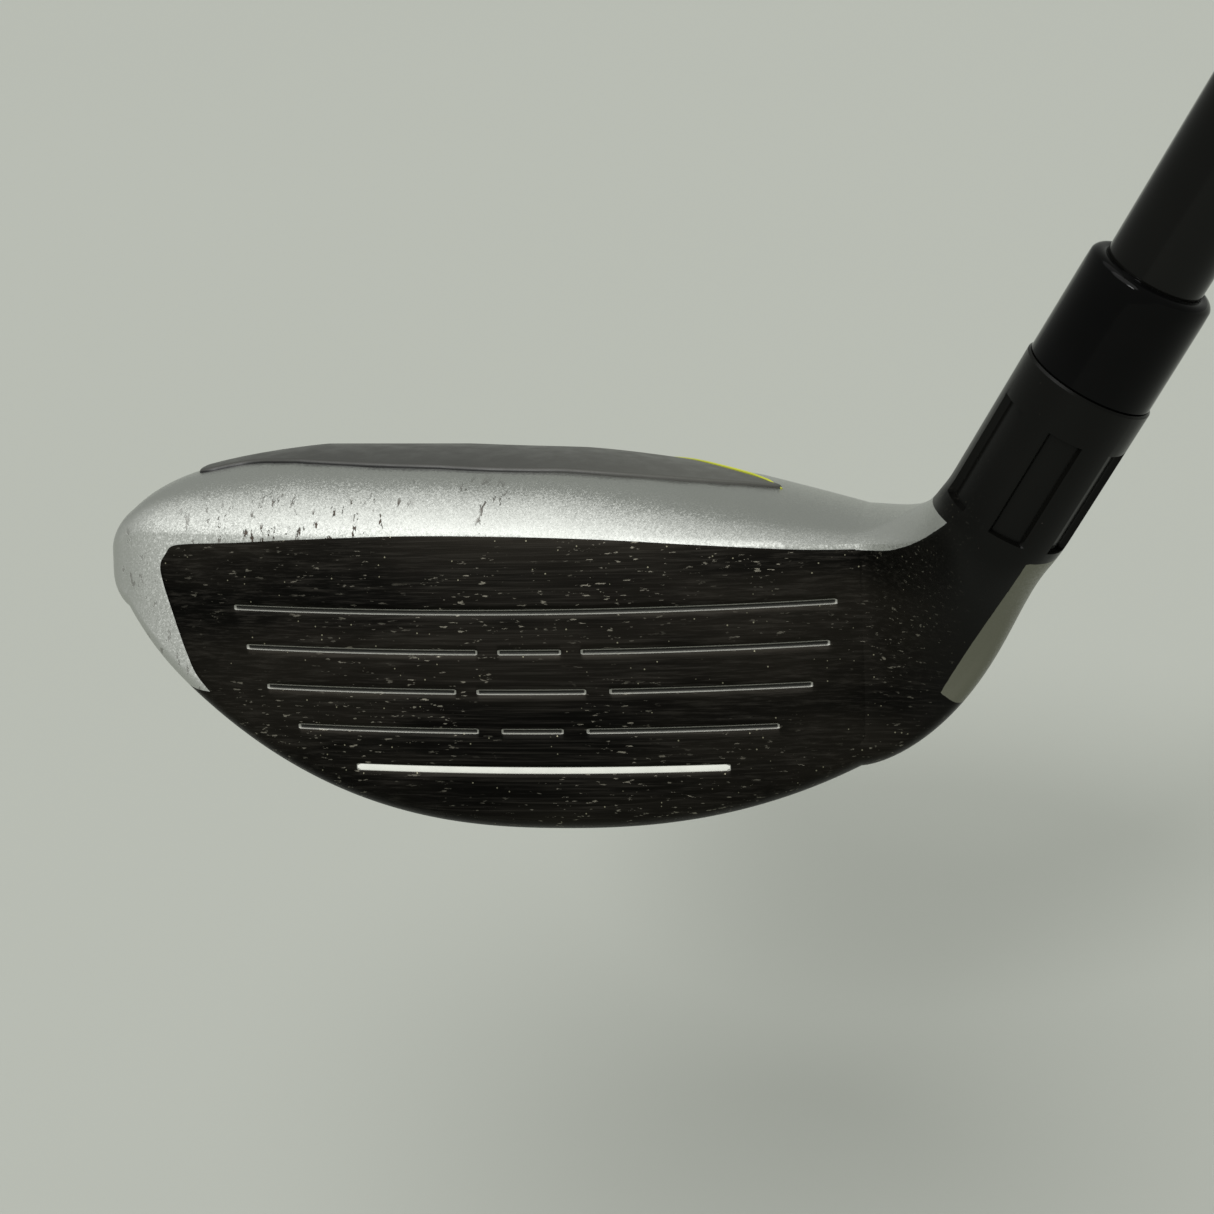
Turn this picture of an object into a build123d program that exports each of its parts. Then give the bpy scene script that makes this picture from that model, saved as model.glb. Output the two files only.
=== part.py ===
from build123d import *
import os
from math import cos, radians, sin, sqrt, tan

# Hybrid golf club, right-handed, standing at address. Millimetres, +Z up.
# The face looks towards -Y and the heel is at +X. The origin is on the ground, where the
# sole rests under the middle of the face, in the upright plane that holds the shaft's axis.

os.makedirs("parts", exist_ok=True)

# ---- Driving dimensions ----
LIE = 59.5                  # shaft axis above the ground, degrees
LOFT = 19.0                 # face away from upright, degrees
BULGE_R = 280.0             # the face is a patch of a ball of this radius
FACE_Y = -3.0               # middle of the face, where the third scoreline is
FACE_Z = 16.2
AXIS_X = 28.86              # where the shaft's axis meets the ground
TOE_X = -48.4               # outermost point of the toe
TOE_Y = 9.0
TOE_Z = 27.0
TOE_ROUND_X = -36.0         # the toe starts to close here
TOE_FULL_X = -46.0          # and keeps this section's shape from here on
REAR_Y = 48.5               # rearmost point of the head
REAR_X = -4.0
VALLEY_R = 12.0             # concave radius between the crown and the hosel
PIVOT_Z = 44.5              # height of that radius's centre
HOSEL_R = 6.5
BORE_R = 4.85
HOSEL_TOP = 55.5            # along the shaft's axis from the ground
WALL = 1.8                  # casting wall
FACE_THICK = 2.6
GROOVE_DEPTH = 0.4
GROOVE_W = 0.9
GROOVE_PITCH = 4.14
PANEL_PROUD = 0.6           # rear crown stands proud of the front band
PANEL_SEAT = 0.9            # and sits this deep in the casting
SCORE_HALVES = (32.3, 31.2, 29.25, 25.8, 20.0)   # from the top scoreline down
SCORE_GAPS = {1: (3.5, 5.6), 2: (5.9, 8.2), 3: (3.3, 5.9)}   # where the middle stretch ends, the outer starts
SLOT_LEN = 52.0             # polymer-filled slot through the sole, behind the face
SLOT_W = 3.0
SLOT_Y = 8.0
BADGE_DEPTH = 0.5
PORT_Y = 33.0               # screw port in the sole, below the middle of the head
PORT_Z = 2.63
PORT_TILT = 12              # degrees, as the sole rises to the rear
PORT_R = 5.0
PORT_DEPTH = 5.0
PORT_SUNK = 0.6             # the screw's head below the sole
SEAL_THICK = 0.6
FLUTES = 6
FLUTE_LEN = 11.5
FLUTE_W = 3.6
FLUTE_DEPTH = 0.7
FLUTE_TOP = 4.5             # plain ring above the flutes
SHAFT_TIP_R = 4.7
SHAFT_R = 4.85              # above the ferrule, with paint
SHAFT_BUTT_R = 7.6
SHAFT_TIP_BORE_R = 2.9
SHAFT_BUTT_BORE_R = 6.2
TIP_S = 38.0                # shaft tip, along the axis; any lower and the bore breaks out in front
PLUG_THICK = 3.0            # disc that closes the bore below the tip
FERRULE_LEN = 11.6
FERRULE_TOP_R = 6.25
CLUB_LEN = 1022.0           # from the ground to the end of the grip, along the axis
GRIP_LEN = 267.0
GRIP_MOUTH_R = 9.0
GRIP_BUTT_R = 13.6
CAP_LEN = 9.0
TAPE_THICK = 0.25
DECAL_THICK = 0.1
VENT_R = 1.5

# Stations along the shaft's axis
FERRULE_END = HOSEL_TOP + FERRULE_LEN
SHAFT_END = CLUB_LEN - 4
GRIP_START = CLUB_LEN - GRIP_LEN
CAP_START = CLUB_LEN - CAP_LEN
DECAL_START = 620
DECAL_END = 700

# ---- Frames and axes ----
axis_dir = Vector(cos(radians(LIE)), 0, sin(radians(LIE)))
axis_foot = Vector(AXIS_X, 0, 0)
shaft_axis = Axis(axis_foot, axis_dir)
face_normal = Vector(0, -cos(radians(LOFT)), sin(radians(LOFT)))
face_centre = Vector(0, FACE_Y, FACE_Z)
ball_centre = face_centre - face_normal * BULGE_R
face_plane = Plane(origin=face_centre, x_dir=(1, 0, 0), z_dir=face_normal)
profile_plane = Plane(
    origin=axis_foot, x_dir=(sin(radians(LIE)), 0, -cos(radians(LIE))), z_dir=(0, -1, 0)
)


def on_axis(station):
    """The point on the shaft's axis this far from the ground."""
    return axis_foot + axis_dir * station


def across_axis(station):
    """The plane square to the shaft at this station."""
    return Plane(origin=on_axis(station), x_dir=(0, 1, 0), z_dir=axis_dir)


pivot_reach = VALLEY_R + HOSEL_R
NECK_S = (PIVOT_Z - pivot_reach * cos(radians(LIE))) / sin(radians(LIE))
PIVOT_X = (on_axis(NECK_S)).X - pivot_reach * sin(radians(LIE))


# ---- The head's sections ----
# Each section is four cubic curves through the corners top, toe of the face, ground and rear:
# the face, the leading edge, the sole and the crown. From the toe to the pivot the sections are
# upright; then they fan round the pivot until they are square to the shaft and round.


def face_y(x, z):
    """Y of the bulged and rolled face at this X and Z."""
    up = (z - FACE_Z) / cos(radians(LOFT))
    return FACE_Y + (z - FACE_Z) * tan(radians(LOFT)) + (x * x + up * up) / (2 * BULGE_R * cos(radians(LOFT)))


def top_z(x):
    """Height of the face's top edge, which falls away towards the toe and the heel."""
    toe_side = min(x + 11, 0)
    heel_side = max(x + 11, 0)
    return FACE_Z + cos(radians(LOFT)) * (16.1 - 0.0002 * toe_side**2 - 0.05 * heel_side)


def sole_z(x):
    """Height of the sole, cambered from heel to toe."""
    off = abs(x - 2.5) / 43
    return 14.5 * off**2.5 if x < 2.5 else 12.0 * off**2.4


def rear_y(x):
    """Y of the rear edge, seen from above."""
    half = 46 if x < REAR_X else 54
    off = min(abs(x - REAR_X) / half, 1)
    fall = (1 - off**2.5) ** 0.52 if x < REAR_X else (1 - off**2.2) ** 0.62
    return 4 + (REAR_Y - 4) * fall


def upright_section(x):
    """The twelve control points (Y, Z) of the section at this X."""
    top = top_z(x)
    sole = sole_z(x)
    low = sole + 4.2
    heel = min(max((x - 2) / 33, 0), 1) ** 1.3
    take_off = radians(56 - 40 * heel)
    face_line = [Vector(face_y(x, top + (low - top) * t), top + (low - top) * t) for t in (0, 1 / 3, 2 / 3, 1)]
    ground = Vector(face_line[3].X + 9, sole)
    depth = min((rear_y(x) - face_line[0].X) / 40, 1)
    rear = Vector(rear_y(x), sole + 3 + 7.5 * depth)
    return face_line + [
        face_line[3] - Vector(sin(radians(LOFT)), cos(radians(LOFT))) * 3.2,
        ground - Vector(5, 0),
        ground,
        ground + Vector(0.55 * (rear.X - ground.X), 0),
        rear - Vector(0, 0.55 * (rear.Y - sole)),
        rear,
        rear + Vector(-2.5 * depth, 0.74 * (top - rear.Y)),
        face_line[0] + Vector(cos(take_off), sin(take_off)) * (14.5 - 7 * heel) * depth,
    ]


def toe_section(x, end):
    """The section at this X, drawn in towards the toe's tip where the toe closes."""
    off = max((TOE_ROUND_X - x) / (TOE_ROUND_X - end), 0)
    grown = max(1 - off**4.5, 0) ** 0.45
    tip = Vector(TOE_Y, TOE_Z)
    return [tip + (p - tip) * grown for p in upright_section(max(x, TOE_FULL_X))]


def neck_section(fan):
    """The control points (Y, up from the pivot) at this fan angle, in degrees."""
    out = Vector(sin(radians(fan)), -cos(radians(fan)))
    turned = min(fan / LIE / 0.86, 1)
    share = (turned * turned * (3 - 2 * turned)) ** 0.75
    half = HOSEL_R * sqrt(0.5)
    lean = 0.5523 * half
    near, far = -VALLEY_R - HOSEL_R + half, -VALLEY_R - HOSEL_R - half
    ring = [
        (-half, near), (-half - lean, near - lean), (-half - lean, far + lean),
        (-half, far), (-half + lean, far - lean), (half - lean, far - lean),
        (half, far), (half + lean, far + lean), (half + lean, near - lean),
        (half, near), (half - lean, near + lean), (-half + lean, near + lean),
    ]
    points = []
    for n, p in enumerate(upright_section(PIVOT_X)):
        reach = PIVOT_Z - p.Y
        y = face_y(PIVOT_X + reach * out.X, PIVOT_Z + reach * out.Y) if n < 4 else p.X
        points.append(Vector(y, -reach) * (1 - share) + Vector(*ring[n]) * share)
    return points


def drawn_in(points, inset):
    """The control points moved towards the section's middle by the inset."""
    middle = sum(points, Vector(0, 0)) * (1 / len(points))
    return [p - (p - middle).normalized() * inset for p in points]


def section_face(plane, points):
    """The face on this plane bounded by the section's four curves."""
    with BuildSketch(plane) as face:
        with BuildLine():
            for n in (0, 3, 6, 9):
                Bezier(*[points[(n + step) % 12] for step in range(4)])
        make_face()
    return face.sketch


def upright_faces(inset, stations):
    """The head's upright sections at these stations, drawn in by the inset."""
    end = TOE_X + inset
    return [
        section_face(
            Plane(origin=(x, 0, 0), x_dir=(0, 1, 0), z_dir=(1, 0, 0)), drawn_in(toe_section(x, end), inset)
        )
        for x in stations
    ]


def neck_faces(inset, fans):
    """The sections that fan round the pivot, drawn in by the inset."""
    faces = []
    for fan in fans:
        turn = radians(fan)
        plane = Plane(origin=(PIVOT_X, 0, PIVOT_Z), x_dir=(0, 1, 0), z_dir=(cos(turn), 0, sin(turn)))
        faces.append(section_face(plane, drawn_in(neck_section(fan), inset)))
    return faces


def toe_stations(inset):
    """Stations crowded where the toe closes."""
    end = TOE_X + inset
    return [end + 0.25, end + 1.6, end + 4.6, -38, -30, -18, -4, 10, 22]


def head_form(inset):
    """The head without its hosel, drawn in by the inset, as far as the foot of the hosel."""
    with BuildPart() as form:
        stations = toe_stations(inset) + [PIVOT_X]
        loft(sections=upright_faces(inset, stations) + neck_faces(inset, (10, 20, 30, 40, 50, LIE)))
    return form.part


def prism(outline, plane, start, end):
    """The outline drawn on this plane, made solid between two heights above it."""
    with BuildPart() as solid:
        with BuildSketch(plane.offset(start)):
            add(outline)
        extrude(amount=end - start)
    return solid.part


def ball(radius):
    """A ball about the centre of the face's bulge and roll."""
    with BuildPart() as solid:
        with Locations(ball_centre):
            Sphere(radius)
    return solid.part


def turned(points):
    """A body of revolution about the shaft's axis, from (radius, station) points."""
    with BuildPart() as solid:
        with BuildSketch(profile_plane):
            with BuildLine():
                Polyline(*points, close=True)
            make_face()
        revolve(axis=shaft_axis)
    return solid.part


def shaft_r(station):
    """The shaft's outer radius above the ferrule."""
    share = max(station - FERRULE_END, 0) / (SHAFT_END - FERRULE_END)
    return SHAFT_R + (SHAFT_BUTT_R - SHAFT_R) * share


def finish(part, name):
    """Labels a finished piece and writes its file."""
    part.label = name
    export_step(part, f"parts/{name}.step")


# ---- Outlines ----

# Face insert, in the face's plane: top edge, heel end, leading edge and toe end.
with BuildSketch() as face_outline:
    with BuildLine():
        ThreePointArc((-39.6, 13.9), (-12, 15.8), (12, 14.7))
        Line((12, 14.7), (34.5, 13.6))
        Line((34.5, 13.6), (34.5, -5.4))
        ThreePointArc((34.5, -5.4), (2, -12.6), (-37, -1.1))
        Line((-37, -1.1), (-41, 11.6))
        ThreePointArc((-41, 11.6), (-40.9, 13.2), (-39.6, 13.9))
    make_face()

# Raised rear crown, from above.
with BuildSketch() as panel_outline:
    with BuildLine():
        ThreePointArc((-40, 17.5), (-3, 11.2), (28, 16.5))
        Spline((28, 16.5), (29.5, 25), (20, 36), (-4, 43), (-27, 37.5), (-38.5, 26), (-40, 17.5))
    make_face()
    fillet(panel_outline.vertices(), 2.0)

# The casting is open beneath the panel, inside a ledge.
with BuildSketch() as opening_outline:
    with BuildLine():
        Spline(
            (-3, 15.5), (20, 18), (24.5, 25), (15, 33), (-4, 38.5), (-24, 34), (-34, 24), (-25, 17),
            periodic=True,
        )
    make_face()

# Accent stripe, from the panel's heel corner back across the crown.
with BuildSketch() as accent_outline:
    with BuildLine() as accent_line:
        ThreePointArc((26.0, 18.0), (16.0, 22.8), (4.0, 27.5))
    trace(accent_line.line, line_width=0.8)

with BuildSketch() as slot_outline:
    with Locations((0, SLOT_Y)):
        SlotOverall(SLOT_LEN, SLOT_W)

with BuildSketch() as badge_outline:
    with BuildLine():
        Polyline((-17, 13), (17, 13), (11, 25), (-11, 25), close=True)
    make_face()
    fillet(badge_outline.vertices(), 2.5)


def score_outline(row):
    """The grooves of one scoreline, in the face's plane."""
    half = SCORE_HALVES[row]
    height = (2 - row) * GROOVE_PITCH
    inner, outer_start = SCORE_GAPS.get(row, (0, 0))
    with BuildSketch() as outline:
        if inner:
            with Locations((0, height)):
                SlotOverall(2 * inner, GROOVE_W)
            stretch = half - outer_start
            with Locations((outer_start + stretch / 2, height), (-outer_start - stretch / 2, height)):
                SlotOverall(stretch, GROOVE_W)
        else:
            with Locations((0, height)):
                SlotOverall(2 * half, GROOVE_W)
    return outline.sketch


# ---- Shared forms ----

with BuildPart() as outer_form:
    add(head_form(0))
    extrude(neck_faces(0, (LIE,))[0], amount=HOSEL_TOP - NECK_S)

with BuildPart() as cavity_form:
    loft(sections=upright_faces(WALL, toe_stations(WALL) + [PIVOT_X - 1]))

raised_form = head_form(-PANEL_PROUD)
seat_form = head_form(PANEL_SEAT)
face_block = prism(face_outline.sketch, face_plane, -9, 9)
face_back = ball(BULGE_R - FACE_THICK)
groove_floor = ball(BULGE_R - GROOVE_DEPTH)
panel_block = prism(panel_outline.sketch, Plane.XY, 17, 45)
accent_block = prism(accent_outline.sketch, Plane.XY, 17, 45)
slot_block = prism(slot_outline.sketch, Plane.XY, -2, 9)
badge_block = prism(badge_outline.sketch, Plane.XY, -2, 9)
badge_floor = head_form(BADGE_DEPTH)

# ---- Head casting: shell, hosel, slot, port and recesses ----
port_plane = Plane(
    origin=(0, PORT_Y, PORT_Z),
    x_dir=(1, 0, 0),
    z_dir=(0, -sin(radians(PORT_TILT)), cos(radians(PORT_TILT))),
)

with BuildPart() as port_boss:
    with Locations(port_plane):
        Cylinder(PORT_R + 2.5, 2 * (PORT_DEPTH + 2))
    add(outer_form.part, mode=Mode.INTERSECT)

with BuildPart() as flute_cutter:
    with Locations(across_axis(HOSEL_TOP - FLUTE_TOP - FLUTE_LEN)):
        Cylinder(HOSEL_R + 3, FLUTE_LEN, align=(Align.CENTER, Align.CENTER, Align.MIN))
        Cylinder(
            HOSEL_R - FLUTE_DEPTH, FLUTE_LEN,
            align=(Align.CENTER, Align.CENTER, Align.MIN), mode=Mode.SUBTRACT,
        )
        with PolarLocations(HOSEL_R, FLUTES):
            Box(
                HOSEL_R, FLUTE_W, FLUTE_LEN,
                align=(Align.CENTER, Align.CENTER, Align.MIN), mode=Mode.INTERSECT,
            )

with BuildPart() as head_body:
    add(outer_form.part)
    with Locations(across_axis(TIP_S - PLUG_THICK)):
        Cylinder(BORE_R, HOSEL_TOP, align=(Align.CENTER, Align.CENTER, Align.MIN), mode=Mode.SUBTRACT)
    add(flute_cutter.part, mode=Mode.SUBTRACT)
    add(face_block - face_back, mode=Mode.SUBTRACT)
    add(panel_block - seat_form, mode=Mode.SUBTRACT)
    add(slot_block, mode=Mode.SUBTRACT)
    add(badge_block - badge_floor, mode=Mode.SUBTRACT)
    add(cavity_form.part, mode=Mode.SUBTRACT)
    add(prism(opening_outline.sketch, Plane.XY, 17, 45), mode=Mode.SUBTRACT)
    add(port_boss.part)
    with Locations(port_plane):
        Cylinder(PORT_R, 2 * PORT_DEPTH, mode=Mode.SUBTRACT)
finish(head_body.part, "head_body")

# ---- Face insert with its scorelines ----
with BuildPart() as face_insert:
    add(outer_form.part)
    add(face_block, mode=Mode.INTERSECT)
    add(face_back, mode=Mode.SUBTRACT)
    for row in range(len(SCORE_HALVES)):
        add(prism(score_outline(row), face_plane, -9, 9) - groove_floor, mode=Mode.SUBTRACT)
finish(face_insert.part, "face_insert")

# Paint that fills the lowest scoreline, a little below the face.
with BuildPart() as scoreline_fill:
    add(prism(score_outline(4), face_plane, -9, 9))
    add(ball(BULGE_R - 0.12), mode=Mode.INTERSECT)
    add(groove_floor, mode=Mode.SUBTRACT)
finish(scoreline_fill.part, "scoreline_fill")

# ---- Crown panel and its accent stripe ----
with BuildPart() as crown_panel:
    add(raised_form)
    add(panel_block, mode=Mode.INTERSECT)
    add(seat_form, mode=Mode.SUBTRACT)
    add(accent_block - outer_form.part, mode=Mode.SUBTRACT)
finish(crown_panel.part, "crown_panel")

with BuildPart() as crown_accent:
    add(raised_form)
    add(accent_block, mode=Mode.INTERSECT)
    add(outer_form.part, mode=Mode.SUBTRACT)
finish(crown_accent.part, "crown_accent")

# ---- Sole: slot filling, badge, port screw and its seal ----
with BuildPart() as slot_insert:
    add(outer_form.part)
    add(slot_block, mode=Mode.INTERSECT)
    add(cavity_form.part, mode=Mode.SUBTRACT)
finish(slot_insert.part, "slot_insert")

with BuildPart() as sole_badge:
    add(outer_form.part)
    add(badge_block, mode=Mode.INTERSECT)
    add(badge_floor, mode=Mode.SUBTRACT)
finish(sole_badge.part, "sole_badge")

with BuildPart() as port_screw:
    with BuildSketch(port_plane.offset(PORT_SUNK)):
        Circle(PORT_R)
    extrude(amount=PORT_DEPTH - PORT_SUNK - SEAL_THICK)
    with BuildSketch(port_plane.offset(PORT_SUNK)):
        RegularPolygon(2.4, 6)
    extrude(amount=2.4, mode=Mode.SUBTRACT)
finish(port_screw.part, "port_screw")

with BuildPart() as port_seal:
    with BuildSketch(port_plane.offset(PORT_DEPTH - SEAL_THICK)):
        Circle(PORT_R)
        Circle(PORT_R - 2, mode=Mode.SUBTRACT)
    extrude(amount=SEAL_THICK)
finish(port_seal.part, "port_seal")

# ---- Inside the head: split weights and the hot-melt pad ----
with BuildPart() as toe_weight:
    add(cavity_form.part)
    with Locations((-34, 21, 4)):
        Box(20, 22, 16, mode=Mode.INTERSECT)
finish(toe_weight.part, "toe_weight")

with BuildPart() as heel_weight:
    add(cavity_form.part)
    with Locations((24, 22, 2)):
        Box(17, 20, 13, mode=Mode.INTERSECT)
finish(heel_weight.part, "heel_weight")

with BuildPart() as hot_melt:
    add(cavity_form.part)
    with Locations((-13, 20, 0)):
        Cylinder(7.5, 10, mode=Mode.INTERSECT)
finish(hot_melt.part, "hot_melt")

# ---- Shaft line, as bodies of revolution about the shaft's axis ----
hosel_plug = turned([(0, TIP_S - PLUG_THICK), (BORE_R, TIP_S - PLUG_THICK), (BORE_R, TIP_S), (0, TIP_S)])
finish(hosel_plug, "hosel_plug")

tip_weight = turned([(0, TIP_S), (SHAFT_TIP_BORE_R, TIP_S), (SHAFT_TIP_BORE_R, TIP_S + 14), (0, TIP_S + 14)])
finish(tip_weight, "tip_weight")

epoxy_sleeve = turned([(SHAFT_TIP_R, TIP_S), (BORE_R, TIP_S), (BORE_R, HOSEL_TOP), (SHAFT_TIP_R, HOSEL_TOP)])
finish(epoxy_sleeve, "epoxy_sleeve")

shaft = turned([
    (SHAFT_TIP_BORE_R, TIP_S), (SHAFT_TIP_R, TIP_S), (SHAFT_TIP_R, HOSEL_TOP), (SHAFT_R, HOSEL_TOP),
    (SHAFT_R, FERRULE_END), (SHAFT_BUTT_R, SHAFT_END), (SHAFT_BUTT_BORE_R, SHAFT_END),
    (SHAFT_TIP_BORE_R, FERRULE_END),
])
finish(shaft, "shaft")

# The ferrule tapers a little and ends in a blunt shoulder.
with BuildPart() as ferrule:
    with BuildSketch(profile_plane) as ferrule_profile:
        with BuildLine():
            Polyline(
                (SHAFT_R, HOSEL_TOP), (HOSEL_R - 0.12, HOSEL_TOP), (FERRULE_TOP_R, FERRULE_END),
                (SHAFT_R, FERRULE_END), close=True,
            )
        make_face()
        fillet(ferrule_profile.vertices().sort_by(shaft_axis)[-2:].sort_by(Axis.X)[-1], 0.9)
    revolve(axis=shaft_axis)
finish(ferrule.part, "ferrule")

shaft_decal = turned([
    (shaft_r(DECAL_START), DECAL_START), (shaft_r(DECAL_START) + DECAL_THICK, DECAL_START),
    (shaft_r(DECAL_END) + DECAL_THICK, DECAL_END), (shaft_r(DECAL_END), DECAL_END),
])
finish(shaft_decal, "shaft_decal")

# ---- Grip: tape, sleeve and end cap ----
TAPE_START = GRIP_START + 2
grip_tape = turned([
    (shaft_r(TAPE_START), TAPE_START), (shaft_r(TAPE_START) + TAPE_THICK, TAPE_START),
    (SHAFT_BUTT_R + TAPE_THICK, SHAFT_END), (SHAFT_BUTT_R, SHAFT_END),
])
finish(grip_tape, "grip_tape")

with BuildPart() as grip:
    with BuildSketch(profile_plane):
        with BuildLine():
            Polyline(
                (shaft_r(GRIP_START), GRIP_START), (GRIP_MOUTH_R, GRIP_START), (GRIP_MOUTH_R + 0.4, GRIP_START + 3),
                (GRIP_BUTT_R, CAP_START), (shaft_r(CAP_START), CAP_START), close=True,
            )
        make_face()
    revolve(axis=shaft_axis)
    add(grip_tape, mode=Mode.SUBTRACT)
finish(grip.part, "grip")

with BuildPart() as grip_cap:
    with BuildSketch(profile_plane) as cap_profile:
        with BuildLine():
            Polyline(
                (SHAFT_BUTT_R + TAPE_THICK, CAP_START), (GRIP_BUTT_R, CAP_START), (GRIP_BUTT_R, CLUB_LEN),
                (VENT_R, CLUB_LEN), (VENT_R, SHAFT_END), (SHAFT_BUTT_R + TAPE_THICK, SHAFT_END), close=True,
            )
        make_face()
        fillet(cap_profile.vertices().sort_by(shaft_axis)[-2:].sort_by(Axis.X)[-1], 3.2)
    revolve(axis=shaft_axis)
finish(grip_cap.part, "grip_cap")
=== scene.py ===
from math import cos, hypot, pi, radians, sin, sqrt, tan

import bpy
import numpy as np
from mathutils import Matrix, Vector
from mathutils.geometry import delaunay_2d_cdt


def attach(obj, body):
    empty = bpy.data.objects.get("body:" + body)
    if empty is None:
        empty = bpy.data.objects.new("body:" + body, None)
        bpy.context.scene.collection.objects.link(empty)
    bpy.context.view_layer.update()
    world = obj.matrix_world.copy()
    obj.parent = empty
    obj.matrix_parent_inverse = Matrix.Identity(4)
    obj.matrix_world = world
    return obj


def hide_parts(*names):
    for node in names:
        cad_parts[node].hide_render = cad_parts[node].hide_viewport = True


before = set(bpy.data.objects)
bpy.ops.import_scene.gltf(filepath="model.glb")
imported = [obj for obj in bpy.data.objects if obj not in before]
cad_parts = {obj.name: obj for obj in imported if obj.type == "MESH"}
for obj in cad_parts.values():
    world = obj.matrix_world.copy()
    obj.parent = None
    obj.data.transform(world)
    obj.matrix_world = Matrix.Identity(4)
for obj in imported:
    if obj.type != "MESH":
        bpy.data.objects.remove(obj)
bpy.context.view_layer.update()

# Lengths below are millimetres in the frame's own axes, as the CAD model has them; meshes are
# written in metres. The origin is on the ground below the middle of the face.
MM = 0.001

# ---- The head's shape, from the same formulas as the CAD model ----
LIE = 59.5
LOFT = radians(19)
BULGE_R = 280.0
FACE_Y, FACE_Z = -3.0, 16.2
AXIS_X = 28.86
TOE_X, TOE_Y, TOE_Z, TOE_ROUND_X = -48.4, 9.0, 27.0, -36.0
REAR_X, REAR_Y = -4.0, 48.5
VALLEY_R, PIVOT_Z = 12.0, 44.5
HOSEL_R, HOSEL_TOP = 6.5, 55.5
BORE_R = 4.85
FLUTES, FLUTE_W, FLUTE_DEPTH = 6, 3.7, 0.7
FLUTE_FOOT, FLUTE_HEAD = 39.5, 51.0
SHAFT_R, SHAFT_BUTT_R = 4.85, 7.6
FERRULE_LEN, FERRULE_TOP_R = 11.6, 6.25
FERRULE_END = HOSEL_TOP + FERRULE_LEN
CLUB_LEN, GRIP_LEN, CAP_LEN = 1022.0, 267.0, 9.0
GRIP_START, CAP_START, SHAFT_END = CLUB_LEN - GRIP_LEN, CLUB_LEN - CAP_LEN, CLUB_LEN - 4
GRIP_MOUTH_R, GRIP_BUTT_R, VENT_R = 9.0, 13.6, 1.5
PANEL_PROUD = 0.42
PLATE_HEEL_X, PLATE_HEEL_TOP, PLATE_HEEL_LOW = 34.5, 13.3, -6.0
PLATE_THICK = 0.45
BAND_START, BAND_END = 620, 700
CROWN_STEP = 0.25

AXIS_DIR = np.array([cos(radians(LIE)), 0.0, sin(radians(LIE))])
AXIS_FOOT = np.array([AXIS_X, 0.0, 0.0])
AXIS_OUT = np.array([sin(radians(LIE)), 0.0, -cos(radians(LIE))])
NECK_S = (PIVOT_Z - (VALLEY_R + HOSEL_R) * cos(radians(LIE))) / sin(radians(LIE))
PIVOT_X = AXIS_X + NECK_S * cos(radians(LIE)) - (VALLEY_R + HOSEL_R) * sin(radians(LIE))


def face_y(x, z):
    up = (z - FACE_Z) / cos(LOFT)
    return FACE_Y + (z - FACE_Z) * tan(LOFT) + (x * x + up * up) / (2 * BULGE_R * cos(LOFT))


def top_z(x):
    toe_side, heel_side = min(x + 11, 0), max(x + 11, 0)
    return FACE_Z + cos(LOFT) * (16.1 - 0.0002 * toe_side**2 - 0.05 * heel_side)


def sole_z(x):
    off = abs(x - 2.5) / 43
    return 14.5 * off**2.5 if x < 2.5 else 12.0 * off**2.4


def rear_y(x):
    off = min(abs(x - REAR_X) / (46 if x < REAR_X else 54), 1)
    fall = (1 - off**2.5) ** 0.52 if x < REAR_X else (1 - off**2.2) ** 0.62
    return 4 + (REAR_Y - 4) * fall


def upright_section(x):
    """Twelve control points (Y, Z): face, leading edge, sole and crown."""
    top, sole = top_z(x), sole_z(x)
    low = sole + 4.2
    heel = min(max((x - 2) / 33, 0), 1) ** 1.3
    take_off = radians(56 - 40 * heel)
    levels = [top + (low - top) * t / 3 for t in range(4)]
    face = [np.array([face_y(x, z), z]) for z in levels]
    ground = np.array([face[3][0] + 9, sole])
    depth = min((rear_y(x) - face[0][0]) / 40, 1)
    rear = np.array([rear_y(x), sole + 3 + 7.5 * depth])
    return np.array(face + [
        face[3] - np.array([sin(LOFT), cos(LOFT)]) * 3.2,
        ground - [5, 0],
        ground,
        ground + [0.55 * (rear[0] - ground[0]), 0],
        rear - [0, 0.55 * (rear[1] - sole)],
        rear,
        rear + [-2.5 * depth, 0.74 * (top - rear[1])],
        face[0] + np.array([cos(take_off), sin(take_off)]) * (14.5 - 7 * heel) * depth,
    ])


def station_points(x):
    """The section's control points in 3D, drawn in where the toe closes."""
    off = max((TOE_ROUND_X - x) / (TOE_ROUND_X - TOE_X), 0)
    grown = max(1 - off**4.5, 0) ** 0.45
    tip = np.array([TOE_Y, TOE_Z])
    flat = tip + (upright_section(max(x, -46)) - tip) * grown
    return np.column_stack([np.full(12, x), flat])


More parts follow.
